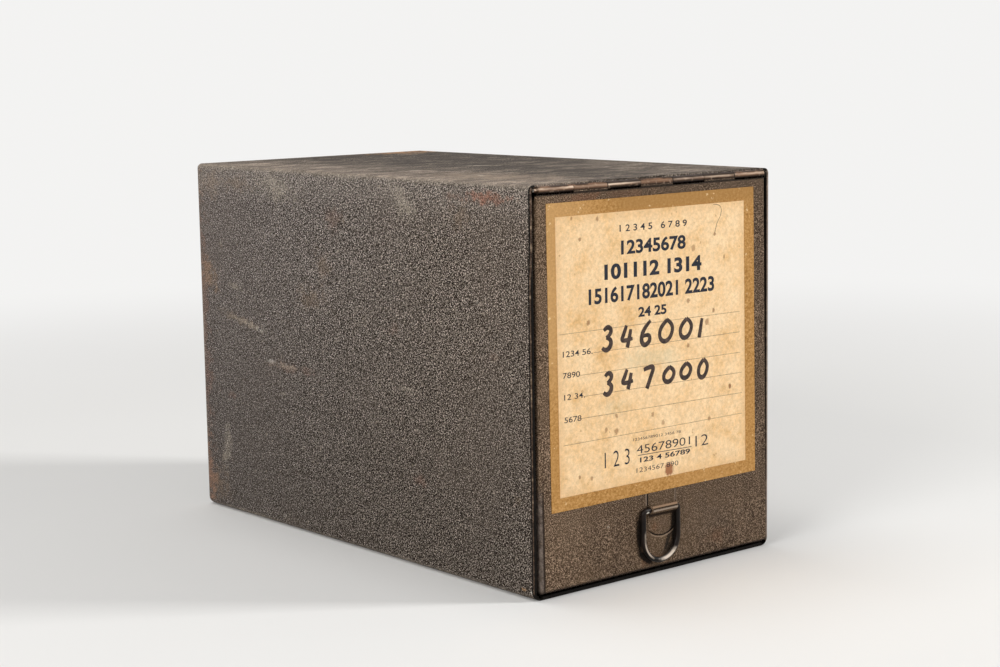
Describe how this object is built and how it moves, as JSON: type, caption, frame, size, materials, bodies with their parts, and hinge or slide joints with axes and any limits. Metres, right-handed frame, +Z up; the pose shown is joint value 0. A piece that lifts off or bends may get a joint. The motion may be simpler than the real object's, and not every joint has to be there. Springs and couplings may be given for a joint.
{
  "type": "prescription file box",
  "caption": "Sheet-steel file box with a top-hinged front door, drop D-ring, paper label and a pull-out carriage with a two-post arch file for prescription slips.",
  "frame": {"origin": "middle of the casing's flat underside, where it rests", "axes": "+X to the right seen from the door, +Y from the door to the back, +Z up"},
  "size_m": [0.146, 0.2659, 0.178],
  "materials": {
    "case_enamel": "charcoal crinkle enamel, worn at the edges",
    "door_enamel": "warm dark grey crinkle enamel",
    "carriage_enamel": "black enamel",
    "runner_steel": "bare rolled steel",
    "bare_steel": "bare steel darkened with age",
    "ring_steel": "dark bronzed steel wire",
    "plated_steel": "dull nickel plate",
    "kraft_card": "tan card, matt",
    "cream_paper": "aged cream paper, matt"
  },
  "bodies": {
    "casing": {"casing_wrap": "case_enamel", "back_panel": "case_enamel", "hinge_leaf": "bare_steel", "hinge_pin": "bare_steel", "left_runner": "runner_steel", "right_runner": "runner_steel", "left_door_stop": "case_enamel", "right_door_stop": "case_enamel"},
    "door": {"door_panel": "door_enamel", "pull_strap": "door_enamel", "label_border": "kraft_card", "label_paper": "cream_paper"},
    "ring": {"pull_ring": "ring_steel"},
    "carriage": {"carriage_tray": "carriage_enamel", "arch_base": "plated_steel", "base_rivets": "bare_steel", "pivot_bracket": "plated_steel", "left_post": "plated_steel", "right_post": "plated_steel"},
    "arches": {"left_arch": "plated_steel", "right_arch": "plated_steel", "arch_shaft": "plated_steel", "arch_lever": "plated_steel"},
    "press": {"press_plate": "plated_steel"}
  },
  "joints": [
    {"name": "door_swing", "type": "hinge", "parent": "casing", "child": "door", "pos_m": [0, -0.12895, 0.17565], "axis": [-1, 0, 0], "range_deg": [-0.65, 189]},
    {"name": "ring_swing", "type": "hinge", "parent": "door", "child": "ring", "pos_m": [0, -0.1335, 0.03004], "axis": [-1, 0, 0], "range_deg": [-0.3, 175]},
    {"name": "carriage_slide", "type": "slide", "parent": "casing", "child": "carriage", "axis": [0, -1, 0], "range_m": [-0.0007, 0.1865]},
    {"name": "arch_lift", "type": "hinge", "parent": "carriage", "child": "arches", "pos_m": [0, 0.054, 0.012], "axis": [-1, 0, 0], "range_deg": [0, 35]},
    {"name": "press_slide", "type": "slide", "parent": "carriage", "child": "press", "axis": [0, 0, 1], "range_m": [0, 0.095]}
  ],
  "couplings": [
    {"joint": "carriage_slide", "follows": "door_swing", "m_per_rad": 0.0564}
  ]
}
